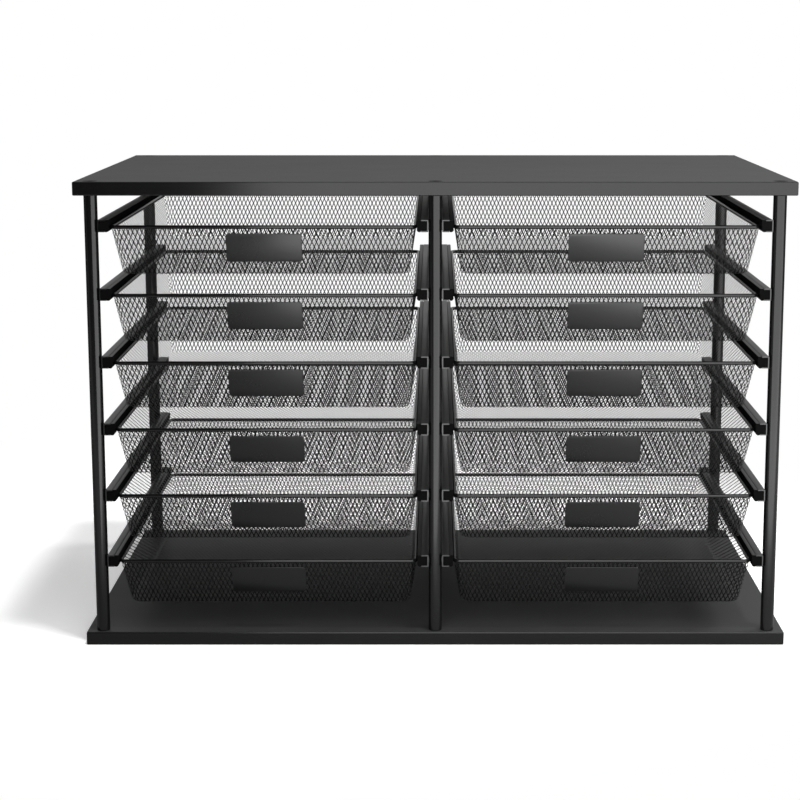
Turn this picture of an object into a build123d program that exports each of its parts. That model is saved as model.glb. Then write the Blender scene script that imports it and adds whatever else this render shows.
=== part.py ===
from build123d import *
import math
import os

# Desk organizer with two bays of mesh drawers between a top board and a base board.
# Sizes are in millimetres. X runs along the width, Y from the front to the back, Z up.
# The origin is the middle of the underside of the base board.

# How many drawers there are, from left to right and from top to bottom
BAY_NAMES = ["left", "right"]
TIERS = 6

# Rim of a drawer: one round wire bent into a rounded rectangle, measured on its centre line
RIM_WIDTH = 236.2
RIM_LENGTH = 314.8
RIM_WIRE = 3.0
RIM_CORNER = 5.0

# Mesh basket: its walls lean inwards from the rim to the bottom. The expanded mesh is drawn
# coarser than it is, as staggered diamonds that stand upright on the walls.
BASKET_DEPTH = 38.3
BASKET_END_LEAN = 15.4
BASKET_SIDE_LEAN = 6.5
BASKET_WALL = 0.8
BASKET_BOTTOM_BEND = 3.0
MESH_ACROSS = 6
MESH_ALONG = 3
MESH_SIDE = 8
MESH_STRAND = 4.5
MESH_BORDER = 4.0

# Blank name plate on the front wall of a drawer
PLATE_WIDTH = 58.0
PLATE_HEIGHT = 23.5
PLATE_THICKNESS = 1.0
PLATE_CORNER = 2.5
PLATE_DROP = 4.6

# Glide on each side of a drawer: a tongue inside the rail and a rib that grips the rim wire
RIB_WIDTH = 2.95
RIB_SHORTFALL = 0.05
RIB_CHAMFER = 1.2
WIRE_GROOVE = 0.5
GLIDE_GAP = 0.3
GLIDE_FRONT_OVERHANG = 4.1
GLIDE_REAR_OVERHANG = 6.8
GLIDE_NOSE = 0.6

# Rail: a folded channel, open towards the drawer and closed by a tab at the rear
RAIL_HEIGHT = 9.5
RAIL_FLANGE = 5.8
RAIL_WALL = 1.0
RAIL_STOP_GAP = 0.3
RAIL_BELOW_WIRE = 3.6
RAIL_END_INSET = 3.1
WELD_WIDTH = 5.0

# Round posts with a threaded plug in each end
POST_DIAMETER = 10.5
POST_WALL = 1.2
POST_SIDE_INSET = 12.7
POST_END_INSET = 8.0
PLUG_LENGTH = 16.0
PLUG_GAP = 0.05

# Top board and base board
BOARD_THICKNESS = 10.7
BOARD_EDGE_ROUND = 1.0
TOP_WIRE_DROP = 24.8
TIER_PITCH = 53.45
FLOOR_GAP = 18.55

# Countersunk screws through the boards into the plugs
SCREW_DIAMETER = 5.0
SCREW_HEAD = 10.8
SCREW_HEAD_RIM = 0.4
SCREW_REACH = 10.0
SOCKET_ACROSS = 3.2
SOCKET_DEPTH = 2.2
HEAD_GAP = 0.15
HOLE_GAP = 0.3
BASE_HEAD_RECESS = 0.6

# Worked out from the sizes above
wire_radius = RIM_WIRE / 2
post_radius = POST_DIAMETER / 2
plug_radius = post_radius - POST_WALL - PLUG_GAP
screw_radius = SCREW_DIAMETER / 2
head_radius = SCREW_HEAD / 2
head_cone = head_radius - screw_radius

rail_lip = post_radius + RAIL_FLANGE
rib_start = rail_lip + GLIDE_GAP
rib_end = rib_start + RIB_WIDTH
wire_from_post = rib_end - WIRE_GROOVE + wire_radius
post_spacing = RIM_WIDTH + 2 * wire_from_post

glide_length = GLIDE_FRONT_OVERHANG + RIM_LENGTH + GLIDE_REAR_OVERHANG
rail_length = glide_length + RAIL_STOP_GAP + RAIL_WALL

bays = len(BAY_NAMES)
width = bays * post_spacing + 2 * POST_SIDE_INSET
depth = rail_length + 2 * RAIL_END_INSET
height = 2 * BOARD_THICKNESS + TOP_WIRE_DROP + (TIERS - 1) * TIER_PITCH + BASKET_DEPTH + FLOOR_GAP

front = -depth / 2
rail_front = front + RAIL_END_INSET
rim_front = rail_front + GLIDE_FRONT_OVERHANG
rim_middle = rim_front + RIM_LENGTH / 2
post_length = height - 2 * BOARD_THICKNESS
top_wire_level = height - BOARD_THICKNESS - TOP_WIRE_DROP

post_columns = [(i - bays / 2) * post_spacing for i in range(bays + 1)]
post_rows = [front + POST_END_INSET, -front - POST_END_INSET]
column_names = ["left", "centre", "right"]
row_names = ["front", "rear"]
wire_levels = [top_wire_level - i * TIER_PITCH for i in range(TIERS)]
bay_middles = [(post_columns[i] + post_columns[i + 1]) / 2 for i in range(bays)]


def basket_block(inset_x, inset_y, floor_level, bend):
    """The basket as a closed block, set in from its outer faces and ending at a floor level."""
    top_level = -wire_radius
    wedges = []
    for plane, rim_half, lean, inset, reach in (
        (Plane.XZ, RIM_WIDTH / 2, BASKET_SIDE_LEAN, inset_x, RIM_LENGTH),
        (Plane.YZ, RIM_LENGTH / 2, BASKET_END_LEAN, inset_y, RIM_WIDTH),
    ):
        outer = rim_half + BASKET_WALL / 2 - inset
        top_half = outer + top_level / BASKET_DEPTH * lean
        floor_half = outer + floor_level / BASKET_DEPTH * lean
        outline = Polyline((-top_half, top_level), (top_half, top_level),
                           (floor_half, floor_level), (-floor_half, floor_level), close=True)
        wedges.append(extrude(plane * make_face(outline), reach, both=True))
    block = wedges[0] & wedges[1]
    upright = [edge for edge in block.edges() if abs((edge @ 0).Z - (edge @ 1).Z) > bend]
    block = fillet(upright, RIM_CORNER - min(inset_x, inset_y))
    return fillet(block.edges().group_by(Axis.Z)[0], bend)


def mesh_openings(seat, size_x, size_y, across, along):
    """Diamonds that cut through a basket wall lying in the plane of its seat, middle on middle."""
    grid_x = size_x - 2 * MESH_BORDER
    grid_y = size_y - 2 * MESH_BORDER
    pitch_x = grid_x / across
    pitch_y = grid_y / along
    slant = math.hypot(pitch_x, pitch_y)
    half_x = (pitch_x - MESH_STRAND * slant / pitch_y) / 2
    half_y = (pitch_y - MESH_STRAND * slant / pitch_x) / 2
    diamond = make_face(Polyline((half_x, 0), (0, half_y), (-half_x, 0), (0, -half_y), close=True))
    spots = [
        Pos((i - across) * pitch_x / 2, (j - along) * pitch_y / 2)
        for i in range(2 * across + 1)
        for j in range(2 * along + 1)
        if (i + j) % 2 == 1
    ]
    grid = Sketch() + [spot * diamond for spot in spots]
    return extrude(seat * (grid & Rectangle(grid_x, grid_y)), 2 * BASKET_WALL, both=True)


def make_basket():
    """Open tray of mesh under the rim wire. The wire's centre line is at level 0."""
    side_slope = math.hypot(BASKET_SIDE_LEAN, BASKET_DEPTH)
    end_slope = math.hypot(BASKET_END_LEAN, BASKET_DEPTH)
    outside = basket_block(0, 0, -BASKET_DEPTH, BASKET_BOTTOM_BEND)
    inside = basket_block(BASKET_WALL * side_slope / BASKET_DEPTH, BASKET_WALL * end_slope / BASKET_DEPTH,
                          BASKET_WALL - BASKET_DEPTH, BASKET_BOTTOM_BEND - BASKET_WALL)
    tray = outside - inside

    floor_x = RIM_WIDTH - 2 * (BASKET_SIDE_LEAN + RIM_CORNER)
    floor_y = RIM_LENGTH - 2 * (BASKET_END_LEAN + RIM_CORNER)
    tray = tray - mesh_openings(Plane.XY.offset(-BASKET_DEPTH), floor_x, floor_y, MESH_ACROSS, MESH_ALONG)
    for sign in (1, -1):
        end_seat = Plane(origin=(0, sign * (RIM_LENGTH - BASKET_END_LEAN) / 2, -BASKET_DEPTH / 2),
                         x_dir=(1, 0, 0), z_dir=(0, sign * BASKET_DEPTH, -BASKET_END_LEAN))
        side_seat = Plane(origin=(sign * (RIM_WIDTH - BASKET_SIDE_LEAN) / 2, 0, -BASKET_DEPTH / 2),
                          x_dir=(0, 1, 0), z_dir=(sign * BASKET_DEPTH, 0, -BASKET_SIDE_LEAN))
        tray = tray - mesh_openings(end_seat, floor_x, end_slope, MESH_ACROSS, 1)
        tray = tray - mesh_openings(side_seat, floor_y, side_slope, MESH_SIDE, 1)
    return tray


def make_rim():
    """Closed loop of round wire at level 0."""
    path = RectangleRounded(RIM_WIDTH, RIM_LENGTH, RIM_CORNER).face().outer_wire()
    section = Plane(origin=path @ 0, z_dir=path % 0) * Circle(wire_radius)
    return sweep(section, path=path)


def make_plate():
    """Name plate flat against the outside of the leaning front wall."""
    lean = math.atan2(BASKET_END_LEAN, BASKET_DEPTH)
    middle_drop = PLATE_DROP + PLATE_HEIGHT / 2 * math.cos(lean)
    wall_top = -(RIM_LENGTH + BASKET_WALL) / 2
    wall_face = wall_top + middle_drop * math.tan(lean)
    outward = (0, -math.cos(lean), -math.sin(lean))
    seat = Plane(origin=(0, wall_face, -middle_drop), x_dir=(1, 0, 0), z_dir=outward)
    return extrude(seat * RectangleRounded(PLATE_WIDTH, PLATE_HEIGHT, PLATE_CORNER), PLATE_THICKNESS)


def bar(x_low, x_high, y_low, y_high, z_low, z_high):
    """A box given by its lowest and highest corners."""
    middle = Pos((x_low + x_high) / 2, (y_low + y_high) / 2, (z_low + z_high) / 2)
    return middle * Box(x_high - x_low, y_high - y_low, z_high - z_low)


def make_glide():
    """Glide to the right of a post at x = 0, with the rim wire's centre at level 0."""
    rail_bottom = -RAIL_BELOW_WIRE
    rail_top = rail_bottom + RAIL_HEIGHT
    inner_gap = RAIL_WALL + GLIDE_GAP
    back = rail_front + glide_length
    tongue = bar(post_radius + inner_gap, rib_start, rail_front, back,
                 rail_bottom + inner_gap, rail_top - inner_gap)
    rib = bar(rib_start, rib_end, rail_front, back, rail_bottom + RIB_SHORTFALL, rail_top - RIB_SHORTFALL)
    rib_edges = rib.edges().filter_by(Axis.Y).group_by(Axis.X)[-1]
    rib = chamfer(rib_edges.sort_by(Axis.Z)[0], RIB_CHAMFER)
    glide = tongue + rib
    nose_edges = glide.faces().sort_by(Axis.Y)[0].edges()
    glide = chamfer(nose_edges, GLIDE_NOSE)
    wire_line = Pos(wire_from_post, rail_front + glide_length / 2, 0) * Rot(X=90)
    return glide - wire_line * Cylinder(wire_radius, glide_length)


def make_rail():
    """Rail to the right of a post at x = 0, with the rim wire's centre at level 0."""
    bottom = -RAIL_BELOW_WIRE
    top = bottom + RAIL_HEIGHT
    back = rail_front + rail_length
    block = bar(post_radius, rail_lip, rail_front, back, bottom, top)
    hollow = bar(post_radius + RAIL_WALL, rail_lip, rail_front, back - RAIL_WALL,
                 bottom + RAIL_WALL, top - RAIL_WALL)
    rail = block - hollow
    for row in post_rows:
        weld = bar(0, post_radius, row - WELD_WIDTH / 2, row + WELD_WIDTH / 2, bottom, top)
        post = Pos(0, row, bottom + RAIL_HEIGHT / 2) * Cylinder(post_radius, RAIL_HEIGHT)
        rail = rail + (weld - post)
    return rail


def make_pair(piece, bay_middle, level):
    """A right-handed piece at the left post of a bay, and its mirror image at the right post."""
    left = Pos(bay_middle - post_spacing / 2, 0, level) * piece
    right = Pos(bay_middle + post_spacing / 2, 0, level) * mirror(piece, about=Plane.YZ)
    return [left, right]


def make_screw():
    """Countersunk screw that points down, with the top of its head at level 0."""
    head_height = SCREW_HEAD_RIM + head_cone
    shank_end = -(BOARD_THICKNESS + SCREW_REACH)
    rim = Pos(0, 0, -SCREW_HEAD_RIM / 2) * Cylinder(head_radius, SCREW_HEAD_RIM)
    cone = Pos(0, 0, -SCREW_HEAD_RIM - head_cone / 2) * Cone(screw_radius, head_radius, head_cone)
    shank_length = -shank_end - head_height
    shank = Pos(0, 0, shank_end + shank_length / 2) * Cylinder(screw_radius, shank_length)
    socket_sketch = RegularPolygon(SOCKET_ACROSS / 2, 6, major_radius=False)
    return rim + cone + shank - extrude(socket_sketch, -SOCKET_DEPTH)


def make_screw_seat(recess):
    """What a board loses for a screw whose head lies a recess below the board's face at level 0."""
    mouth_radius = head_radius + HEAD_GAP
    mouth_depth = recess + SCREW_HEAD_RIM
    hole_radius = screw_radius + HOLE_GAP
    cone_height = mouth_radius - hole_radius
    mouth = Pos(0, 0, -mouth_depth / 2) * Cylinder(mouth_radius, mouth_depth)
    cone = Pos(0, 0, -mouth_depth - cone_height / 2) * Cone(hole_radius, mouth_radius, cone_height)
    hole = Pos(0, 0, -BOARD_THICKNESS / 2) * Cylinder(hole_radius, BOARD_THICKNESS)
    return mouth + cone + hole


def make_board(recess):
    """Board with its screw heads' face at level 0, lying below that face."""
    board = Pos(0, 0, -BOARD_THICKNESS / 2) * Box(width, depth, BOARD_THICKNESS)
    board = fillet(board.edges(), BOARD_EDGE_ROUND)
    seat = make_screw_seat(recess)
    for column in post_columns:
        for row in post_rows:
            board = board - Pos(column, row, 0) * seat
    return board


def make_post():
    """Round tube standing on the base board."""
    level = BOARD_THICKNESS + post_length / 2
    return Pos(0, 0, level) * (Cylinder(post_radius, post_length)
                               - Cylinder(post_radius - POST_WALL, post_length))


def make_plug():
    """Threaded plug for the end of a post, centred on level 0."""
    return Cylinder(plug_radius, PLUG_LENGTH) - Cylinder(screw_radius + PLUG_GAP, PLUG_LENGTH)


def save(name, shapes):
    """Writes one node. A group of like pieces stays separate solids."""
    shape = shapes[0] if len(shapes) == 1 else Compound(children=shapes)
    export_step(shape, os.path.join("parts", name + ".step"))
    solids = shape.solids()
    print(name, len(solids), "solids", round(sum(s.volume for s in solids)), "mm3")


os.makedirs("parts", exist_ok=True)
basket = make_basket()
rim = make_rim()
plate = make_plate()
glide = make_glide()
rail = make_rail()

# Drawers and the rails that carry them
for bay_name, bay_middle in zip(BAY_NAMES, bay_middles):
    rails = []
    for tier, level in enumerate(wire_levels, start=1):
        drawer = f"{bay_name}_{tier}"
        place = Pos(bay_middle, rim_middle, level)
        save(f"basket_{drawer}", [place * basket])
        save(f"rim_wire_{drawer}", [place * rim])
        save(f"name_plate_{drawer}", [place * plate])
        save(f"glides_{drawer}", make_pair(glide, bay_middle, level))
        rails += make_pair(rail, bay_middle, level)
    save(f"rails_{bay_name}_bay", rails)

# Posts, plugs and screws
post = make_post()
plug = make_plug()
screw = make_screw()
screw_up = mirror(screw, about=Plane.XY)
plugs = []
screws = []
for column_name, column in zip(column_names, post_columns):
    for row_name, row in zip(row_names, post_rows):
        save(f"post_{row_name}_{column_name}", [Pos(column, row, 0) * post])
        plugs.append(Pos(column, row, BOARD_THICKNESS + PLUG_LENGTH / 2) * plug)
        plugs.append(Pos(column, row, height - BOARD_THICKNESS - PLUG_LENGTH / 2) * plug)
        screws.append(Pos(column, row, height) * screw)
        screws.append(Pos(column, row, BASE_HEAD_RECESS) * screw_up)
save("post_plugs", plugs)
save("board_screws", screws)

# Boards
save("top_board", [Pos(0, 0, height) * make_board(0)])
save("base_board", [mirror(make_board(BASE_HEAD_RECESS), about=Plane.XY)])
print("width", round(width, 2), "depth", round(depth, 2), "height", round(height, 2))
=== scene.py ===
import math

import bmesh
import bpy
from mathutils import Matrix, Vector


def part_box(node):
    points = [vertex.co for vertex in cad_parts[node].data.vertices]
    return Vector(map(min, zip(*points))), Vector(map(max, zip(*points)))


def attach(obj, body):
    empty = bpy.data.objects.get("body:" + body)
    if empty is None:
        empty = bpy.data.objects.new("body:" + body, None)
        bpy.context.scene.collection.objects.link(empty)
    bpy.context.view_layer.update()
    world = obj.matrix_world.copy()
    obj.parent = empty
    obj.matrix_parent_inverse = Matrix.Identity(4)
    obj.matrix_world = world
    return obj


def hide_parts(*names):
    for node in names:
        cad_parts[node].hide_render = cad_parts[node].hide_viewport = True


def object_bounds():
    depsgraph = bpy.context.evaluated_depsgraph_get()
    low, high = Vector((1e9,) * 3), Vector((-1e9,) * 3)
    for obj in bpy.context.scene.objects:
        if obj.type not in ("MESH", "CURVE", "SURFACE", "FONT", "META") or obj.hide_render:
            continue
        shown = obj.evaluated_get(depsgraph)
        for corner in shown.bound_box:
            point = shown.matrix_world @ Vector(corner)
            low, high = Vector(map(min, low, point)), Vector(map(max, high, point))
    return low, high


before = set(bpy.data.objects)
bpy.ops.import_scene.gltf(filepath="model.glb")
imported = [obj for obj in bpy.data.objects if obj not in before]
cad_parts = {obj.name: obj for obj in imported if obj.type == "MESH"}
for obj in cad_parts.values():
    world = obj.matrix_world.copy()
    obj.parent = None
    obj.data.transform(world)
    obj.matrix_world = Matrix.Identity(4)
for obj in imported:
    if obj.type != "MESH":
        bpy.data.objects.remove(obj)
cad_box = [list(corner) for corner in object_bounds()]

# The studio. The organizer stands on a white sweep and is seen from the middle, a little from
# above. A long soft box in front and a lamp at the right light its front and its gloss, and a
# small lamp far up, ahead and to the right casts its short shadow to the left.
SENSOR = 36.0
PICTURE_SIDE = 800
VIEW_FOCAL = 1994.332
VIEW_CENTRE_X = 435.25
VIEW_TILT = math.radians(10.51)
VIEW_DISTANCE = 1.537
VIEW_HEIGHT = 0.485
VIEW_REACH = 50.0
front_face = cad_box[0][1]

camera_data = bpy.data.cameras.new("camera")
camera_data.sensor_width = SENSOR
camera_data.lens = VIEW_FOCAL / PICTURE_SIDE * SENSOR
camera_data.shift_x = (PICTURE_SIDE / 2 - VIEW_CENTRE_X) / PICTURE_SIDE
camera_data.clip_end = VIEW_REACH
camera = bpy.data.objects.new("camera", camera_data)
camera.location = (0, front_face - VIEW_DISTANCE, VIEW_HEIGHT)
camera.rotation_euler = (math.pi / 2 - VIEW_TILT, 0, 0)
bpy.context.scene.collection.objects.link(camera)
bpy.context.scene.camera = camera
bpy.context.scene.view_settings.view_transform = "Standard"


class Value:
    """A shader socket that takes part in sums and products as a number does."""

    def __init__(self, tree, socket):
        self.tree = tree
        self.socket = socket

    def combine(self, operation, left, right):
        """A Math node that takes two values, each a socket or a number."""
        node = self.tree.nodes.new("ShaderNodeMath")
        node.operation = operation
        for inlet, end in zip(node.inputs, (left, right)):
            if isinstance(end, Value):
                self.tree.links.new(end.socket, inlet)
            else:
                inlet.default_value = end
        return Value(self.tree, node.outputs[0])

    def __add__(self, other):
        return self.combine("ADD", self, other)

    def __radd__(self, other):
        return self.combine("ADD", other, self)

    def __sub__(self, other):
        return self.combine("SUBTRACT", self, other)

    def __rsub__(self, other):
        return self.combine("SUBTRACT", other, self)

    def __mul__(self, other):
        return self.combine("MULTIPLY", self, other)

    def __rmul__(self, other):
        return self.combine("MULTIPLY", other, self)

    def __abs__(self):
        return self.combine("ABSOLUTE", self, 0.0)


class Finish:
    """The node tree of a material or of the world."""

    def __init__(self, owner, end_kind="ShaderNodeOutputMaterial"):
        owner.use_nodes = True
        self.tree = owner.node_tree
        self.tree.nodes.clear()
        self.end = self.tree.nodes.new(end_kind)

    def fill(self, inlet, value):
        """Links a value to a socket, or sets the socket to a number or colour."""
        if isinstance(value, Value):
            self.tree.links.new(value.socket, inlet)
        else:
            inlet.default_value = value

    def add(self, kind, settings, sockets, outlet=0):
        """One node: its settings first, then what its sockets hold."""
        node = self.tree.nodes.new(kind)
        for name, setting in settings.items():
            setattr(node, name, setting)
        for name, value in sockets.items():
            self.fill(node.inputs[name], value)
        return Value(self.tree, node.outputs[outlet])

    def blend(self, share, first, second):
        """Mixes two colours: the first at share 0, the second at share 1."""
        # The colours' sockets go by number, because those for vectors have the same names.
        sockets = {0: share, 6: first, 7: second}
        return self.add("ShaderNodeMix", {"data_type": "RGBA"}, sockets, outlet=2)

    def rise(self, value, start, end, low=0.0, high=1.0):
        """Low up to the start, high from the end on, and a straight rise between them."""
        sockets = {"Value": value, "From Min": start, "From Max": end, "To Min": low, "To Max": high}
        return self.add("ShaderNodeMapRange", {}, sockets)

    def place(self):
        """Where a point of the surface is, in metres."""
        return self.add("ShaderNodeTexCoord", {}, {}, outlet="Object")

    def ray(self, kind):
        """1 for rays of a kind, such as those that the camera sees, and 0 for the others."""
        return self.add("ShaderNodeLightPath", {}, {}, outlet=kind)

    def finish(self, shader):
        """Makes a shader the one that the surface shows."""
        self.tree.links.new(shader.socket, self.end.inputs["Surface"])


def grey(level):
    """A neutral colour."""
    return (level, level, level, 1.0)


CAMERA_RAY = "Is Camera Ray"
GLOSS_RAY = "Is Glossy Ray"
WHITE = grey(1.0)
SURROUND_FILL = grey(0.16)
SURROUND_FRONT = 0.015
SURROUND_BACK = 0.42
SURROUND_TURN_START = -0.1
SURROUND_TURN_END = 0.5
world = bpy.data.worlds.new("surround")
bpy.context.scene.world = world
sky = Finish(world, "ShaderNodeOutputWorld")
way = sky.add("ShaderNodeTexCoord", {}, {}, outlet="Generated")
backward = sky.add("ShaderNodeSeparateXYZ", {}, {0: way}, outlet="Y")
graded = sky.rise(
    backward, SURROUND_TURN_START, SURROUND_TURN_END, low=SURROUND_FRONT, high=SURROUND_BACK
)
lit_sky = sky.blend(sky.ray(GLOSS_RAY), SURROUND_FILL, graded)
seen_sky = sky.blend(sky.ray(CAMERA_RAY), lit_sky, WHITE)
sky.finish(sky.add("ShaderNodeBackground", {}, {"Color": seen_sky}))

# The camera sees pale paper that runs out into white. What the paper gives back to the object
# is painted light: for all but camera rays its colour is painted lighter or darker along its
# depth, brightest in a band ahead of the object. A stage is where a change starts, where it
# ends and its new level.
FLOOR_SIZE = 12.0
FLOOR_PAPER = grey(0.80)
FLOOR_LIFT = 0.455
BOUNCE_FAR_AHEAD = 0.10
BOUNCE_STAGES = [(-1.3, -0.8, 0.54), (-0.47, -0.30, 0.26), (0.2, 0.5, 0.10)]
SWEEP_CENTRE = (-0.15, 0.12, 0.0)
SWEEP_NEAR = 0.42
SWEEP_FAR = 0.62
floor_mesh = bmesh.new()
bmesh.ops.create_grid(floor_mesh, x_segments=1, y_segments=1, size=FLOOR_SIZE / 2)
floor_data = bpy.data.meshes.new("floor")
floor_mesh.to_mesh(floor_data)
floor_mesh.free()
floor = bpy.data.objects.new("floor", floor_data)
bpy.context.scene.collection.objects.link(floor)
floor_material = bpy.data.materials.new("floor_paper")
floor_data.materials.append(floor_material)
paper = Finish(floor_material)
place = paper.place()
from_centre = paper.add(
    "ShaderNodeVectorMath", {"operation": "DISTANCE"}, {0: place, 1: SWEEP_CENTRE}, outlet="Value"
)
sweep = paper.rise(from_centre, SWEEP_NEAR, SWEEP_FAR)
lit = paper.add("ShaderNodeBsdfDiffuse", {}, {"Color": FLOOR_PAPER})
glow = paper.add("ShaderNodeEmission", {}, {"Color": WHITE, "Strength": FLOOR_LIFT})
near = paper.add("ShaderNodeAddShader", {}, {0: lit, 1: glow})
white = paper.add("ShaderNodeEmission", {}, {"Color": WHITE, "Strength": 1.0})
shown = paper.add("ShaderNodeMixShader", {}, {0: sweep, 1: near, 2: white})
depth = paper.add("ShaderNodeSeparateXYZ", {}, {0: place}, outlet="Y")
# Painted light: the paper's colour for bounced and reflected rays, lighter or darker along its depth.
painted_bounce_tone = grey(BOUNCE_FAR_AHEAD)
for start, end, level in BOUNCE_STAGES:
    painted_bounce_tone = paper.blend(paper.rise(depth, start, end), painted_bounce_tone, grey(level))
bounce = paper.add("ShaderNodeBsdfDiffuse", {}, {"Color": painted_bounce_tone})
paper.finish(paper.add("ShaderNodeMixShader", {}, {0: paper.ray(CAMERA_RAY), 1: bounce, 2: shown}))


def soft_light(name, place, aim, size_x, size_y, radiance, in_gloss=True):
    """A rectangular soft light at a place, turned towards the point it is aimed at."""
    data = bpy.data.lights.new(name, "AREA")
    data.shape = "RECTANGLE"
    data.size = size_x
    data.size_y = size_y
    data.energy = radiance * math.pi * size_x * size_y
    lamp = bpy.data.objects.new(name, data)
    lamp.location = place
    lamp.rotation_euler = (Vector(aim) - Vector(place)).to_track_quat("-Z", "Y").to_euler()
    lamp.visible_camera = False
    lamp.visible_glossy = in_gloss
    bpy.context.scene.collection.objects.link(lamp)


SOFT_BOX_LEFT = -0.18
SOFT_BOX_RIGHT = 1.70
SOFT_BOX_TOP = 0.95
SOFT_BOX_AHEAD = 0.32
SOFT_BOX_RADIANCE = 2.4
RIGHT_LAMP_PLACE = (1.6, 0.5, 1.3)
RIGHT_LAMP_AIM = (0.0, 0.0, 0.1)
RIGHT_LAMP_SIZE = 0.8
RIGHT_LAMP_RADIANCE = 14.0
HIGH_LAMP_PLACE = (1.02, -1.1, 6.0)
HIGH_LAMP_AIM = (0.0, 0.0, 0.0)
HIGH_LAMP_SIZE = 0.6
HIGH_LAMP_RADIANCE = 212.0
soft_box_x = (SOFT_BOX_LEFT + SOFT_BOX_RIGHT) / 2
soft_box_y = front_face - SOFT_BOX_AHEAD
soft_light(
    "front_soft_box",
    (soft_box_x, soft_box_y, SOFT_BOX_TOP / 2),
    (soft_box_x, 0, SOFT_BOX_TOP / 2),
    SOFT_BOX_RIGHT - SOFT_BOX_LEFT,
    SOFT_BOX_TOP,
    SOFT_BOX_RADIANCE,
)
soft_light(
    "right_lamp",
    RIGHT_LAMP_PLACE,
    RIGHT_LAMP_AIM,
    RIGHT_LAMP_SIZE,
    RIGHT_LAMP_SIZE,
    RIGHT_LAMP_RADIANCE,
)
soft_light(
    "high_lamp",
    HIGH_LAMP_PLACE,
    HIGH_LAMP_AIM,
    HIGH_LAMP_SIZE,
    HIGH_LAMP_SIZE,
    HIGH_LAMP_RADIANCE,
    in_gloss=False,
)


# Boards. Both are fibreboard with a black pebbled laminate on their faces and a smoother satin
# band on their edges. The arrises are rounded, and the top board's screw heads lie flush.
MM = 0.001
FACE_BLACK = (0.019, 0.019, 0.0195)
FACE_PALE = (0.025, 0.025, 0.0255)
BAND_BLACK = (0.003, 0.003, 0.0031)
FACE_ROUGHNESS = 0.56
BAND_ROUGHNESS = 0.24
BAND_END = 0.6
FACE_START = 0.95
LAMINATE_GLOSS = 0.5
PEBBLE_SIZE = 0.8 * MM
PEBBLE_DEPTH = 0.03 * MM
PEBBLE_ON_BAND = 0.3
CLOUD_SIZE = 45 * MM
CLOUD_ROUGHNESS = 0.08
NOISE_MIDDLE = 0.5
DUST_SIZE = 1.1 * MM
DUST_START = 0.70
DUST_FULL = 0.79
DUST_SHARE = 0.35
DUST_PALE = grey(0.05)


def noise(skin, place, size, detail=3.0):
    """Soft random spots about as far apart as the size."""
    return skin.add("ShaderNodeTexNoise", {}, {"Vector": place, "Scale": 1 / size, "Detail": detail})


def specks(skin, place):
    """1 on a few scattered specks of dust, 0 elsewhere."""
    return skin.rise(noise(skin, place, DUST_SIZE, detail=1.0), DUST_START, DUST_FULL)


def facing(skin, axis):
    """How far the surface looks along an axis, from -1 to 1."""
    normal = skin.add("ShaderNodeNewGeometry", {}, {}, outlet="Normal")
    return skin.add("ShaderNodeSeparateXYZ", {}, {0: normal}, outlet=axis)


def relief(skin, height, depth):
    """Fine relief, as deep as given where the height runs from 0 to 1."""
    return skin.add("ShaderNodeBump", {}, {"Distance": depth, "Height": height})


laminate_material = bpy.data.materials.new("board_laminate")
laminate = Finish(laminate_material)
place = laminate.place()
cloud = noise(laminate, place, CLOUD_SIZE)
dust = specks(laminate, place)
flat_face = laminate.rise(abs(facing(laminate, "Z")), BAND_END, FACE_START)
tone = laminate.blend(cloud, FACE_BLACK + (1.0,), FACE_PALE + (1.0,))
tone = laminate.blend(flat_face, BAND_BLACK + (1.0,), tone)
tone = laminate.blend(flat_face * dust * DUST_SHARE, tone, DUST_PALE)
pebble = noise(laminate, place, PEBBLE_SIZE) * (PEBBLE_ON_BAND + flat_face * (1 - PEBBLE_ON_BAND))
dullness = BAND_ROUGHNESS + flat_face * (FACE_ROUGHNESS - BAND_ROUGHNESS)
laminate.finish(laminate.add(
    "ShaderNodeBsdfPrincipled",
    {},
    {
        "Base Color": tone,
        "Roughness": dullness + (cloud - NOISE_MIDDLE) * CLOUD_ROUGHNESS,
        "Specular IOR Level": LAMINATE_GLOSS,
        "Normal": relief(laminate, pebble, PEBBLE_DEPTH),
    },
))


def dress(node, material):
    """Gives a node of the frame its finish."""
    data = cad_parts[node].data
    data.materials.clear()
    data.materials.append(material)


dress("base_board", laminate_material)
dress("top_board", laminate_material)


# Posts. Six round steel tubes stand on the base board and carry the top board. They have a
# smooth glossy black powder coat, and their ends are chamfered.
ROWS = ("front", "rear")
COLUMNS = ("left", "centre", "right")
POST_WALL = 1.2 * MM
POST_CHAMFER = 0.3 * MM
POST_STEPS = 72
POST_BLACK = (0.004, 0.004, 0.0042)
POST_ROUGHNESS = 0.16
POST_PEEL_SIZE = 1.6 * MM
POST_PEEL_DEPTH = 0.002 * MM
COAT_GLOSS = 0.5
COAT_DEEP = 0.8
COAT_THIN = 1.2
COAT_DUST_GAIN = 3
COAT_DUST_LIFT = 0.01
COAT_DUST_SHARE = 0.4
COAT_DUST_ROUGHNESS = 0.12
SHEARED_START = 0.90
SHEARED_FULL = 0.97
SMOOTH_ANGLE = math.radians(32)
SAME_PLACE = 0.01 * MM


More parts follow.
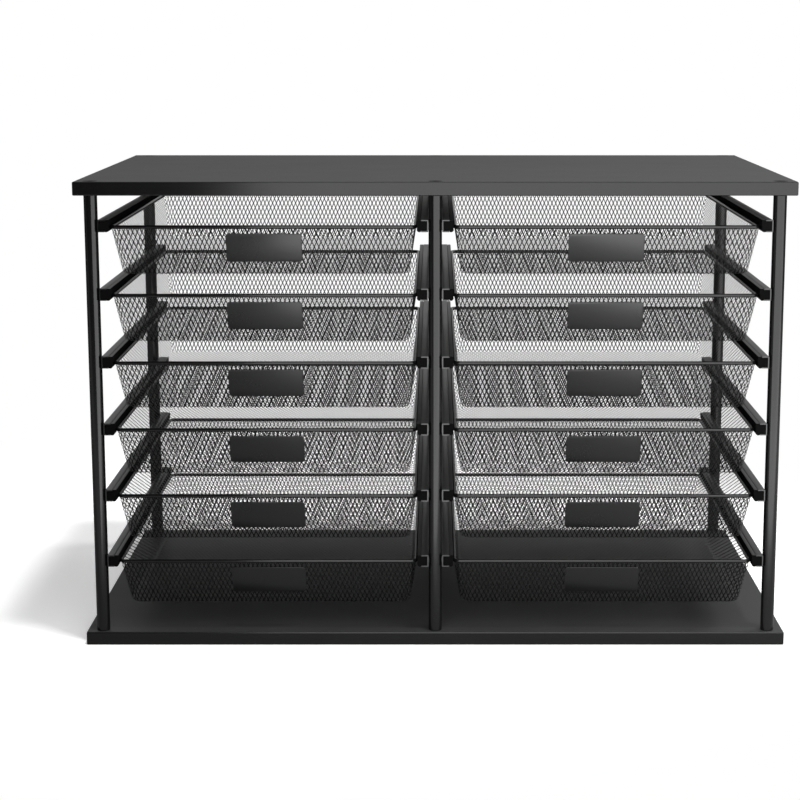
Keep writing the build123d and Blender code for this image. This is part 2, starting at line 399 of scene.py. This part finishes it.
def powder_coat(name, colour, roughness, peel_size, peel_depth, gloss=COAT_GLOSS, bare_ends=None):
    """Black powder coat: fine orange peel, faint clouds in its gloss and a few pale specks.

    Where bare ends are given, the coat is so thin on the sheared ends, which look to the front
    or the rear, that dark steel shows.
    """
    material = bpy.data.materials.new(name)
    skin = Finish(material)
    place = skin.place()
    cloud = noise(skin, place, CLOUD_SIZE)
    dust = specks(skin, place)
    deep = tuple(part * COAT_DEEP for part in colour) + (1.0,)
    thin = tuple(part * COAT_THIN for part in colour) + (1.0,)
    pale = tuple(part * COAT_DUST_GAIN + COAT_DUST_LIFT for part in colour) + (1.0,)
    tone = skin.blend(dust * COAT_DUST_SHARE, skin.blend(cloud, deep, thin), pale)
    sockets = {
        "Base Color": tone,
        "Roughness": roughness + (cloud - NOISE_MIDDLE) * CLOUD_ROUGHNESS + dust * COAT_DUST_ROUGHNESS,
        "Specular IOR Level": gloss,
        "Normal": relief(skin, noise(skin, place, peel_size), peel_depth),
    }
    if bare_ends:
        bare = skin.rise(abs(facing(skin, "Y")), SHEARED_START, SHEARED_FULL)
        sockets["Base Color"] = skin.blend(bare, tone, bare_ends + (1.0,))
        sockets["Metallic"] = bare
    skin.finish(skin.add("ShaderNodeBsdfPrincipled", {}, sockets))
    return material


def add_piece(name, mesh, material, body, node):
    """Makes a finished mesh a piece that rides on a body and stands for a node."""
    data = bpy.data.meshes.new(name)
    mesh.to_mesh(data)
    mesh.free()
    data.materials.append(material)
    data.shade_smooth()
    data.set_sharp_from_angle(angle=SMOOTH_ANGLE)
    piece = bpy.data.objects.new(name, data)
    bpy.context.scene.collection.objects.link(piece)
    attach(piece, body)
    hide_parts(node)


def turn(points, steps):
    """A ring made by turning a closed outline of (radius, height) points about the Z axis."""
    ring = bmesh.new()
    verts = [ring.verts.new((radius, 0, height)) for radius, height in points]
    edges = [ring.edges.new(ends) for ends in zip([verts[-1], *verts], verts)]
    bmesh.ops.spin(
        ring,
        geom=edges + verts,
        cent=(0, 0, 0),
        axis=(0, 0, 1),
        angle=2 * math.pi,
        steps=steps,
        use_merge=True,
    )
    bmesh.ops.remove_doubles(ring, verts=ring.verts, dist=SAME_PLACE)
    bmesh.ops.recalc_face_normals(ring, faces=ring.faces)
    return ring


post_coat = powder_coat("post_coat", POST_BLACK, POST_ROUGHNESS, POST_PEEL_SIZE, POST_PEEL_DEPTH)
for node in [f"post_{row}_{column}" for row in ROWS for column in COLUMNS]:
    low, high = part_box(node)
    outer = (high.x - low.x) / 2
    inner = outer - POST_WALL
    tube = turn(
        [
            (inner, low.z + POST_CHAMFER),
            (inner + POST_CHAMFER, low.z),
            (outer - POST_CHAMFER, low.z),
            (outer, low.z + POST_CHAMFER),
            (outer, high.z - POST_CHAMFER),
            (outer - POST_CHAMFER, high.z),
            (inner + POST_CHAMFER, high.z),
            (inner, high.z - POST_CHAMFER),
        ],
        POST_STEPS,
    )
    axis = ((low.x + high.x) / 2, (low.y + high.y) / 2, 0)
    bmesh.ops.translate(tube, vec=axis, verts=tube.verts)
    add_piece("tube_" + node, tube, post_coat, "frame", node)

post_radius = outer


# Rails. Each drawer runs between two channels folded from sheet steel, open towards the drawer
# and closed by a tab at the rear. Each channel is welded to its front and rear post.
RAIL_HEIGHT = 9.5 * MM
RAIL_FLANGE = 5.8 * MM
RAIL_WALL = 0.8 * MM
WEB_GAP = 0.2 * MM
RAIL_BELOW_WIRE = 3.6 * MM
FOLD_OUTSIDE = 0.5 * MM
FOLD_INSIDE = 0.2 * MM
LIP_ROUND = 0.22 * MM
FOLD_OUTSIDE_STEPS = 4
FOLD_INSIDE_STEPS = 3
LIP_STEPS = 2
WELD_RADIUS = 0.45 * MM
WELD_REACH = 1.9 * MM
WELD_STRETCH = 8.0
WELD_SUNK = 0.4
WELD_DETAIL = 2
RAIL_BLACK = (0.007, 0.007, 0.0072)
RAIL_ROUGHNESS = 0.30
RAIL_PEEL_SIZE = 1.0 * MM
RAIL_PEEL_DEPTH = 0.006 * MM
SHEARED_STEEL = (0.085, 0.085, 0.085)

BAYS = {"left": ("left", "centre"), "right": ("centre", "right")}
TIERS = range(1, 7)
rail_low, rail_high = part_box("rails_left_bay")


def middle(node):
    """Middle of a node's box."""
    low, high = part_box(node)
    return (low + high) / 2


def post_axis(column):
    """Middle of a column's posts, from left to right."""
    return middle("post_front_" + column).x


def long_edges(mesh, *corners):
    """Edges that run along Y through the given (x, z) corners."""
    found = []
    for edge in mesh.edges:
        start, end = (vert.co for vert in edge.verts)
        for x, z in corners:
            if all(math.hypot(spot.x - x, spot.z - z) < SAME_PLACE for spot in (start, end)):
                found.append(edge)
    return found


def soften(mesh, edges, radius, steps):
    """Rounds edges."""
    bmesh.ops.bevel(
        mesh,
        geom=edges,
        offset=radius,
        offset_type="OFFSET",
        affect="EDGES",
        segments=steps,
        profile=0.5,
        material=-1,
        clamp_overlap=True,
    )


def long_bar(points, y_low, y_high):
    """A bar with an outline of (x, z) points, running along Y."""
    bar = bmesh.new()
    face = bar.faces.new([bar.verts.new((x, y_low, z)) for x, z in points])
    grown = bmesh.ops.extrude_face_region(bar, geom=[face])["geom"]
    moved = [item for item in grown if isinstance(item, bmesh.types.BMVert)]
    bmesh.ops.translate(bar, vec=(0, y_high - y_low, 0), verts=moved)
    bmesh.ops.recalc_face_normals(bar, faces=bar.faces)
    return bar


def join(target, other):
    """Adds a mesh to another one."""
    data = bpy.data.meshes.new("joined")
    other.to_mesh(data)
    other.free()
    target.from_mesh(data)
    bpy.data.meshes.remove(data)


def make_rail():
    """The channel to the right of a post at x 0, for a rim wire at level 0."""
    web, lip = post_radius + WEB_GAP, post_radius + RAIL_FLANGE
    bottom, top = -RAIL_BELOW_WIRE, RAIL_HEIGHT - RAIL_BELOW_WIRE
    inner_web, inner_bottom, inner_top = web + RAIL_WALL, bottom + RAIL_WALL, top - RAIL_WALL
    outline = [
        (web, bottom), (lip, bottom), (lip, inner_bottom), (inner_web, inner_bottom),
        (inner_web, inner_top), (lip, inner_top), (lip, top), (web, top),
    ]
    rail = long_bar(outline, rail_low.y, rail_high.y)
    soften(rail, long_edges(rail, (web, bottom), (web, top)), FOLD_OUTSIDE, FOLD_OUTSIDE_STEPS)
    inner_folds = [(inner_web, inner_bottom), (inner_web, inner_top)]
    soften(rail, long_edges(rail, *inner_folds), FOLD_INSIDE, FOLD_INSIDE_STEPS)
    lips = [(lip, bottom), (lip, inner_bottom), (lip, inner_top), (lip, top)]
    soften(rail, long_edges(rail, *lips), LIP_ROUND, LIP_STEPS)
    tab_outline = [
        (inner_web, inner_bottom), (lip, inner_bottom), (lip, inner_top), (inner_web, inner_top),
    ]
    tab = long_bar(tab_outline, rail_high.y - RAIL_WALL, rail_high.y)
    soften(tab, long_edges(tab, (lip, inner_bottom), (lip, inner_top)), LIP_ROUND, LIP_STEPS)
    join(rail, tab)
    for row in ROWS:
        seam = middle(f"post_{row}_left").y
        for side in (1, -1):
            bead = bmesh.new()
            bmesh.ops.create_icosphere(bead, subdivisions=WELD_DETAIL, radius=WELD_RADIUS)
            bmesh.ops.scale(bead, vec=(1, 1, WELD_STRETCH), verts=bead.verts)
            spot = (web - WELD_RADIUS * WELD_SUNK, seam + side * WELD_REACH, (bottom + top) / 2)
            bmesh.ops.translate(bead, vec=spot, verts=bead.verts)
            join(rail, bead)
    return rail


def pair(make, bay, level):
    """A piece beside the left post of a bay, and its mirror image beside the right post."""
    both = bmesh.new()
    for sign, column in zip((1, -1), BAYS[bay]):
        half = make()
        bmesh.ops.scale(half, vec=(sign, 1, 1), verts=half.verts)
        bmesh.ops.translate(half, vec=(post_axis(column), 0, level), verts=half.verts)
        if sign < 0:
            bmesh.ops.reverse_faces(half, faces=half.faces)
        join(both, half)
    return both


rail_coat = powder_coat(
    "rail_coat",
    RAIL_BLACK,
    RAIL_ROUGHNESS,
    RAIL_PEEL_SIZE,
    RAIL_PEEL_DEPTH,
    bare_ends=SHEARED_STEEL,
)
for bay in BAYS:
    rails = bmesh.new()
    for tier in TIERS:
        join(rails, pair(make_rail, bay, middle(f"rim_wire_{bay}_{tier}").z))
    add_piece(f"channels_{bay}_bay", rails, rail_coat, "frame", f"rails_{bay}_bay")


# Glides. A black moulded strip is pressed on each side of a rim wire: its outer rib grips the
# wire in a groove, and its tongue runs inside the channel. Its top has a satin skin, rubbed
# smooth by the channel, and its other faces and sawn ends are dull.
GLIDE_GAP = 0.3 * MM
RIB_GAP = 0.12 * MM
RIB_WIDTH = 3.13 * MM
RIB_SHORTFALL = 0.05 * MM
RIB_CHAMFER = 1.2 * MM
GROOVE_DEPTH = 0.5 * MM
GLIDE_ROUND = 0.35 * MM
GLIDE_STEPS = 3
WIRE_RADIUS = 1.5 * MM
GROOVE_POINTS = 5
GLIDE_BLACK = grey(0.002)
GLIDE_SCUFFED = grey(0.005)
GLIDE_ROUGHNESS = 0.8
GLIDE_SCUFF_ROUGHNESS = 0.1
GLIDE_GLOSS = 0.02
GLIDE_GRAIN = 0.6 * MM
GLIDE_GRAIN_DEPTH = 0.006 * MM
SKIN_START = 0.6
SKIN_FULL = 0.9
SKIN_LEAST = 0.8
SKIN_ROUGHNESS = 0.34


def make_glide():
    """The glide to the right of a post at x 0, for a rim wire at level 0."""
    low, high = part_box("glides_left_1")
    bottom, top = -RAIL_BELOW_WIRE, RAIL_HEIGHT - RAIL_BELOW_WIRE
    rib_start = post_radius + RAIL_FLANGE + RIB_GAP
    rib_end = rib_start + RIB_WIDTH
    slack = RAIL_WALL + GLIDE_GAP
    tongue_start = post_radius + WEB_GAP + slack
    tongue_low, tongue_high = bottom + slack, top - slack
    rib_low, rib_high = bottom + RIB_SHORTFALL, top - RIB_SHORTFALL
    wire_x = rib_end - GROOVE_DEPTH + WIRE_RADIUS
    spread = math.acos((wire_x - rib_end) / WIRE_RADIUS)
    groove = []
    for step in range(GROOVE_POINTS):
        turned = spread * (2 * step / (GROOVE_POINTS - 1) - 1)
        groove.append((wire_x - WIRE_RADIUS * math.cos(turned), WIRE_RADIUS * math.sin(turned)))
    corners = [
        (tongue_start, tongue_low), (rib_start, tongue_low), (rib_start, rib_low),
        (rib_end - RIB_CHAMFER, rib_low), (rib_end, rib_low + RIB_CHAMFER),
    ]
    upper_corners = [
        (rib_end, rib_high), (rib_start, rib_high),
        (rib_start, tongue_high), (tongue_start, tongue_high),
    ]
    glide = long_bar(corners + groove + upper_corners, low.y, high.y)
    rounded = [corners[0], *corners[2:], *upper_corners[:2], upper_corners[3]]
    soften(glide, long_edges(glide, *rounded), GLIDE_ROUND, GLIDE_STEPS)
    return glide


glide_mould = bpy.data.materials.new("glide_mould")
moulded = Finish(glide_mould)
place = moulded.place()
worn = noise(moulded, place, CLOUD_SIZE)
on_top = moulded.rise(facing(moulded, "Z"), SKIN_START, SKIN_FULL)
moulded.finish(moulded.add(
    "ShaderNodeBsdfPrincipled",
    {},
    {
        "Base Color": moulded.blend(worn, GLIDE_BLACK, GLIDE_SCUFFED),
        "Roughness": GLIDE_ROUGHNESS + worn * GLIDE_SCUFF_ROUGHNESS,
        "Specular IOR Level": GLIDE_GLOSS,
        "Coat Weight": on_top * (SKIN_LEAST + worn * (1 - SKIN_LEAST)),
        "Coat Roughness": SKIN_ROUGHNESS,
        "Normal": relief(moulded, noise(moulded, place, GLIDE_GRAIN), GLIDE_GRAIN_DEPTH),
    },
))
drawers = [(bay, tier) for bay in BAYS for tier in TIERS]
for bay, tier in drawers:
    name = f"{bay}_{tier}"
    glides = pair(make_glide, bay, middle("rim_wire_" + name).z)
    add_piece(
        "moulded_glides_" + name,
        glides,
        glide_mould,
        "drawer_" + name,
        "glides_" + name,
    )


# Rim wires. Each drawer hangs from one round steel wire, bent to a rectangle with tight corners
# and butt welded at the middle of its rear side, where the weld stands slightly proud.
RIM_CORNER = 5.0 * MM
RIM_CORNER_STEPS = 10
WIRE_STEPS = 24
REAR_SIDE = 2
WELD_HALF = 1.1 * MM
WELD_SWELL = 1.10
RIM_BLACK = (0.005, 0.005, 0.0052)
RIM_ROUGHNESS = 0.16
RIM_PEEL_SIZE = 1.2 * MM
RIM_PEEL_DEPTH = 0.003 * MM

rim_low, rim_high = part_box("rim_wire_left_1")
rim_width = rim_high.x - rim_low.x - 2 * WIRE_RADIUS
rim_length = rim_high.y - rim_low.y - 2 * WIRE_RADIUS


def make_rim():
    """The closed wire, with its middle at the origin, made from its front side round to its left."""
    wire = bmesh.new()
    start_x = -(rim_width / 2 - RIM_CORNER)
    bmesh.ops.create_circle(wire, segments=WIRE_STEPS, radius=WIRE_RADIUS)
    upright = Matrix.Rotation(math.pi / 2, 3, "Y")
    bmesh.ops.rotate(wire, cent=(0, 0, 0), matrix=upright, verts=wire.verts)
    bmesh.ops.translate(wire, vec=(start_x, -rim_length / 2, 0), verts=wire.verts)
    ring = wire.edges[:]
    heading = Vector((1, 0, 0))
    for side in range(4):
        straight = (rim_width if side % 2 == 0 else rim_length) - 2 * RIM_CORNER
        runs = [(straight, 1.0)]
        if side == REAR_SIDE:
            half = straight / 2 - WELD_HALF
            runs = [(half, 1.0), (WELD_HALF, WELD_SWELL), (WELD_HALF, 1 / WELD_SWELL), (half, 1.0)]
        for run, swell in runs:
            grown = bmesh.ops.extrude_edge_only(wire, edges=ring)["geom"]
            ring = [item for item in grown if isinstance(item, bmesh.types.BMEdge)]
            ring_verts = [item for item in grown if isinstance(item, bmesh.types.BMVert)]
            bmesh.ops.translate(wire, vec=heading * run, verts=ring_verts)
            centre = sum((vert.co for vert in ring_verts), Vector()) / len(ring_verts)
            swelling = Matrix.Translation(centre) @ Matrix.Scale(swell, 4) @ Matrix.Translation(-centre)
            bmesh.ops.transform(wire, matrix=swelling, verts=ring_verts)
        inward = Vector((-heading.y, heading.x, 0))
        turned = bmesh.ops.spin(
            wire,
            geom=ring + ring_verts,
            cent=centre + inward * RIM_CORNER,
            axis=(0, 0, 1),
            angle=math.pi / 2,
            steps=RIM_CORNER_STEPS,
        )["geom_last"]
        ring = [item for item in turned if isinstance(item, bmesh.types.BMEdge)]
        heading = inward
    bmesh.ops.remove_doubles(wire, verts=wire.verts, dist=SAME_PLACE)
    bmesh.ops.recalc_face_normals(wire, faces=wire.faces)
    return wire


rim_coat = powder_coat("rim_coat", RIM_BLACK, RIM_ROUGHNESS, RIM_PEEL_SIZE, RIM_PEEL_DEPTH)
for bay, tier in drawers:
    name = f"{bay}_{tier}"
    rim = make_rim()
    bmesh.ops.translate(rim, vec=middle("rim_wire_" + name), verts=rim.verts)
    add_piece("wire_rim_" + name, rim, rim_coat, "drawer_" + name, "rim_wire_" + name)


# Mesh baskets. Each is a tray of expanded steel with upright diamonds, welded under its rim
# wire. It turns up over a small bend into four leaning walls, which meet at slanted seams in
# the corners.
DIAMOND_WIDTH = 3.48 * MM
DIAMOND_LENGTH = 8.7 * MM
STRAND = 0.76 * MM
SHEET = 0.05 * MM
FLOOR_CELLS_ACROSS = 62
STRIP_CELLS_ACROSS = 68
CELLS_ALONG = 32
CELLS_UP_END = 5
CELLS_UP_SIDE = 12
SIDE_CELLS_ALONG = 38
BASKET_DEPTH = 38.6 * MM
END_LEAN = 15.4 * MM
SIDE_LEAN = 5.8 * MM
END_OUTSIDE_WIRE_LINE = 0.25 * MM
SIDE_OUTSIDE_WIRE_LINE = 0.6 * MM
BEND = 3.0 * MM
FLOOR_CORNER = 9.0 * MM
SLIVER_AREA = 0.03 * MM * MM
ON_CUT = 1e-4
SEAM_MERGE = 0.05 * MM
MESH_BLACK = (0.003, 0.003, 0.0031)
MESH_ROUGHNESS = 0.34
MESH_PEEL_SIZE = 0.8 * MM
MESH_PEEL_DEPTH = 0.004 * MM
MESH_GLOSS = 0.2


class WallProfile:
    """Half of a basket's cross-section, from the flat bottom through the bend up to the rim."""

    def __init__(self, rim_half, lean):
        self.rim_half = rim_half
        self.turn = math.atan2(BASKET_DEPTH, lean)
        self.flat_half = rim_half - lean - BEND * math.tan(self.turn / 2)
        self.bend_length = BEND * self.turn
        self.bend_top = BEND * (1 - math.cos(self.turn))
        self.slope_length = (BASKET_DEPTH - self.bend_top) / math.sin(self.turn)
        self.length = self.bend_length + self.slope_length

    def point(self, way):
        """Distance from the middle and height, at a way up from the flat bottom."""
        if way <= self.bend_length:
            turned = way / BEND
            return self.flat_half + BEND * math.sin(turned), BEND * (1 - math.cos(turned))
        rest = way - self.bend_length
        out = self.flat_half + BEND * math.sin(self.turn) + rest * math.cos(self.turn)
        return out, self.bend_top + rest * math.sin(self.turn)

    def half_at(self, height):
        """Distance from the middle at a height."""
        if height <= self.bend_top:
            return self.flat_half + BEND * math.sin(math.acos(1 - height / BEND))
        return self.rim_half - (BASKET_DEPTH - height) / math.tan(self.turn)


end_wall = WallProfile(rim_length / 2 + END_OUTSIDE_WIRE_LINE, END_LEAN)
side_wall = WallProfile(rim_width / 2 + SIDE_OUTSIDE_WIRE_LINE, SIDE_LEAN)
cell_across = side_wall.flat_half / (FLOOR_CELLS_ACROSS / 2)
cell_along = end_wall.flat_half / (CELLS_ALONG / 2)


def round_corner(x, y, height):
    """Moves a point of a square-cornered tray to the rounded corner."""
    corner = FLOOR_CORNER + (RIM_CORNER - FLOOR_CORNER) * height / BASKET_DEPTH
    over_x = abs(x) - (side_wall.half_at(height) - corner)
    over_y = abs(y) - (end_wall.half_at(height) - corner)
    if over_x <= 0 or over_y <= 0:
        return x, y
    reach = max(over_x, over_y)
    turned = min(over_x, over_y) / reach * math.pi / 4
    near, far = reach * math.sin(turned), reach * math.cos(turned)
    new_x, new_y = (near, far) if over_y >= over_x else (far, near)
    return math.copysign(abs(x) - over_x + new_x, x), math.copysign(abs(y) - over_y + new_y, y)


def diamond_net(across, along):
    """Flat net of diamonds, so many across and along, with its middle at the origin."""
    net = bmesh.new()
    count = across + along
    bmesh.ops.create_grid(net, x_segments=count, y_segments=count, size=count / 2 * math.sqrt(0.5))
    diagonal = Matrix.Rotation(math.pi / 4, 3, "Z")
    bmesh.ops.rotate(net, cent=(0, 0, 0), matrix=diagonal, verts=net.verts)
    for normal, half in ((Vector((1, 0, 0)), across / 2), (Vector((0, 1, 0)), along / 2)):
        for sign in (1, -1):
            bmesh.ops.bisect_plane(
                net,
                geom=net.verts[:] + net.edges[:] + net.faces[:],
                dist=ON_CUT,
                plane_co=normal * half * sign,
                plane_no=normal * sign,
                clear_outer=True,
            )
    bmesh.ops.scale(net, vec=(DIAMOND_WIDTH, DIAMOND_LENGTH, 1), verts=net.verts)
    strands = bmesh.ops.bevel(
        net,
        geom=[edge for edge in net.edges if not edge.is_boundary],
        offset=STRAND / 2,
        offset_type="OFFSET",
        affect="EDGES",
        segments=1,
        profile=0.5,
        material=-1,
    )
    kept = set(strands["faces"])
    bmesh.ops.delete(net, geom=[face for face in net.faces if face not in kept], context="FACES")
    return net


def to_seam(run, limit):
    """A distance from the middle, held back at the seam with the next wall."""
    return math.copysign(min(abs(run), limit), run), abs(run) > limit


def place_strip(flat):
    """Where a point of the strip of floor and end walls goes, and whether it is past a seam."""
    run, height = abs(flat.y) / DIAMOND_LENGTH * cell_along, 0.0
    way = abs(flat.y) / DIAMOND_LENGTH - CELLS_ALONG / 2
    if way > 0:
        run, height = end_wall.point(way / CELLS_UP_END * end_wall.length)
    x, past = to_seam(flat.x / DIAMOND_WIDTH * cell_across, side_wall.half_at(height))
    return (*round_corner(x, math.copysign(run, flat.y), height), height), past


def place_side(flat):
    """The same for the right wall, from a net that starts at the floor's right edge."""
    way = flat.x / DIAMOND_WIDTH / CELLS_UP_SIDE + 0.5
    out, height = side_wall.point(way * side_wall.length)
    y, past = to_seam(flat.y / DIAMOND_LENGTH * cell_along, end_wall.half_at(height))
    return (*round_corner(out, y, height), height), past


def press(net, place):
    """Presses a flat net into shape, and cuts off what lies past a seam."""
    spare = set()
    for vert in net.verts:
        vert.co, past = place(vert.co)
        if past:
            spare.add(vert)
    cut = {face for face in net.faces if all(vert in spare for vert in face.verts)}
    slivers = [face for face in net.faces if face not in cut and face.calc_area() < SLIVER_AREA]
    bmesh.ops.delete(net, geom=[*cut, *slivers], context="FACES")
    return net


def press_tray():
    """The whole tray, with its rim at level 0 and its middle on the Z axis."""
    tray = press(diamond_net(STRIP_CELLS_ACROSS, CELLS_ALONG + 2 * CELLS_UP_END), place_strip)
    for sign in (1, -1):
        wall = press(diamond_net(CELLS_UP_SIDE, SIDE_CELLS_ALONG), place_side)
        bmesh.ops.scale(wall, vec=(sign, 1, 1), verts=wall.verts)
        join(tray, wall)
    bmesh.ops.remove_doubles(tray, verts=tray.verts, dist=SEAM_MERGE)
    bmesh.ops.dissolve_degenerate(tray, edges=tray.edges, dist=SAME_PLACE)
    bmesh.ops.recalc_face_normals(tray, faces=tray.faces)
    bmesh.ops.solidify(tray, geom=tray.faces[:], thickness=SHEET)
    bmesh.ops.translate(tray, vec=(0, 0, -BASKET_DEPTH), verts=tray.verts)
    return tray


mesh_coat = powder_coat(
    "mesh_coat", MESH_BLACK, MESH_ROUGHNESS, MESH_PEEL_SIZE, MESH_PEEL_DEPTH, MESH_GLOSS
)
pressed = press_tray()
for bay, tier in drawers:
    name = f"{bay}_{tier}"
    tray = pressed.copy()
    bmesh.ops.translate(tray, vec=middle("rim_wire_" + name), verts=tray.verts)
    add_piece("mesh_basket_" + name, tray, mesh_coat, "drawer_" + name, "basket_" + name)
pressed.free()


# Name plates. A blank black steel plate with rounded corners is spot welded to the outside of
# each front wall and leans with it.
PLATE_WIDTH = 59.2 * MM
PLATE_HEIGHT = 24.5 * MM
PLATE_THICKNESS = 1.0 * MM
PLATE_CORNER = 2.5 * MM
PLATE_CORNER_STEPS = 7
PLATE_ROUND = 0.25 * MM
PLATE_ROUND_STEPS = 3
PLATE_DROP = 5.1 * MM
PLATE_STANDOFF = 0.4 * MM
CAD_BASKET_DEPTH = 38.3 * MM
PLATE_BLACK = (0.003, 0.003, 0.0031)
PLATE_ROUGHNESS = 0.28
PLATE_PEEL_SIZE = 1.0 * MM
PLATE_PEEL_DEPTH = 0.005 * MM
PLATE_GLOSS = 0.7


def make_plate():
    """The plate on the front wall of a drawer, for a rim wire with its middle at the origin."""
    plate = bmesh.new()
    bmesh.ops.create_grid(plate, x_segments=1, y_segments=1, size=0.5)
    bmesh.ops.scale(plate, vec=(PLATE_WIDTH, PLATE_HEIGHT, 1), verts=plate.verts)
    bmesh.ops.bevel(
        plate,
        geom=plate.verts[:],
        offset=PLATE_CORNER,
        affect="VERTICES",
        segments=PLATE_CORNER_STEPS,
        profile=0.5,
        material=-1,
    )
    grown = bmesh.ops.extrude_face_region(plate, geom=plate.faces[:])["geom"]
    front_verts = [item for item in grown if isinstance(item, bmesh.types.BMVert)]
    bmesh.ops.translate(plate, vec=(0, 0, PLATE_THICKNESS), verts=front_verts)
    bmesh.ops.recalc_face_normals(plate, faces=plate.faces)
    rims = []
    for edge in plate.edges:
        start, end = (vert.co for vert in edge.verts)
        if abs(start.z - end.z) < SAME_PLACE:
            rims.append(edge)
    soften(plate, rims, PLATE_ROUND, PLATE_ROUND_STEPS)
    lean = math.atan2(END_LEAN, CAD_BASKET_DEPTH)
    drop = PLATE_DROP + PLATE_HEIGHT / 2 * math.cos(lean)
    seat_y = -rim_length / 2 - PLATE_STANDOFF + drop * math.tan(lean)
    seat = Matrix.Translation((0, seat_y, -drop)) @ Matrix.Rotation(math.pi / 2 + lean, 4, "X")
    bmesh.ops.transform(plate, matrix=seat, verts=plate.verts)
    return plate


plate_coat = powder_coat(
    "plate_coat", PLATE_BLACK, PLATE_ROUGHNESS, PLATE_PEEL_SIZE, PLATE_PEEL_DEPTH, PLATE_GLOSS
)
for bay, tier in drawers:
    name = f"{bay}_{tier}"
    plate = make_plate()
    bmesh.ops.translate(plate, vec=middle("rim_wire_" + name), verts=plate.verts)
    add_piece(
        "blank_plate_" + name,
        plate,
        plate_coat,
        "drawer_" + name,
        "name_plate_" + name,
    )


# Fastenings. Countersunk socket screws in dull black oxide go through the boards into bright
# turned plugs, pressed into the ends of the posts.
SCREW_BLACK = (0.003, 0.003, 0.003)
SCREW_ROUGHNESS = 0.72
SCREW_GRAIN = 0.5 * MM
SCREW_GRAIN_DEPTH = 0.004 * MM
SCREW_GLOSS = 0.1
PLUG_GREY = (0.45, 0.45, 0.46, 1.0)
PLUG_ROUGHNESS = 0.33
STAIN_SIZE = 9 * MM
STAIN_ROUGHNESS = 0.2
RING_PITCH = 0.25 * MM
RING_DEPTH = 0.006 * MM
RING_WANDER = 0.4
WAVE_AT_SCALE_ONE = math.pi / 10
dress("board_screws", powder_coat(
    "screw_oxide", SCREW_BLACK, SCREW_ROUGHNESS, SCREW_GRAIN, SCREW_GRAIN_DEPTH, SCREW_GLOSS
))
plug_material = bpy.data.materials.new("plug_steel")
turned_steel = Finish(plug_material)
place = turned_steel.place()
stained = noise(turned_steel, place, STAIN_SIZE)
rings = turned_steel.add(
    "ShaderNodeTexWave",
    {"wave_type": "BANDS", "bands_direction": "Z"},
    {"Vector": place, "Scale": WAVE_AT_SCALE_ONE / RING_PITCH, "Distortion": RING_WANDER},
    outlet="Fac",
)
turned_steel.finish(turned_steel.add(
    "ShaderNodeBsdfPrincipled",
    {},
    {
        "Base Color": PLUG_GREY,
        "Metallic": 1.0,
        "Roughness": PLUG_ROUGHNESS + (stained - NOISE_MIDDLE) * STAIN_ROUGHNESS,
        "Normal": relief(turned_steel, rings, RING_DEPTH),
    },
))
dress("post_plugs", plug_material)
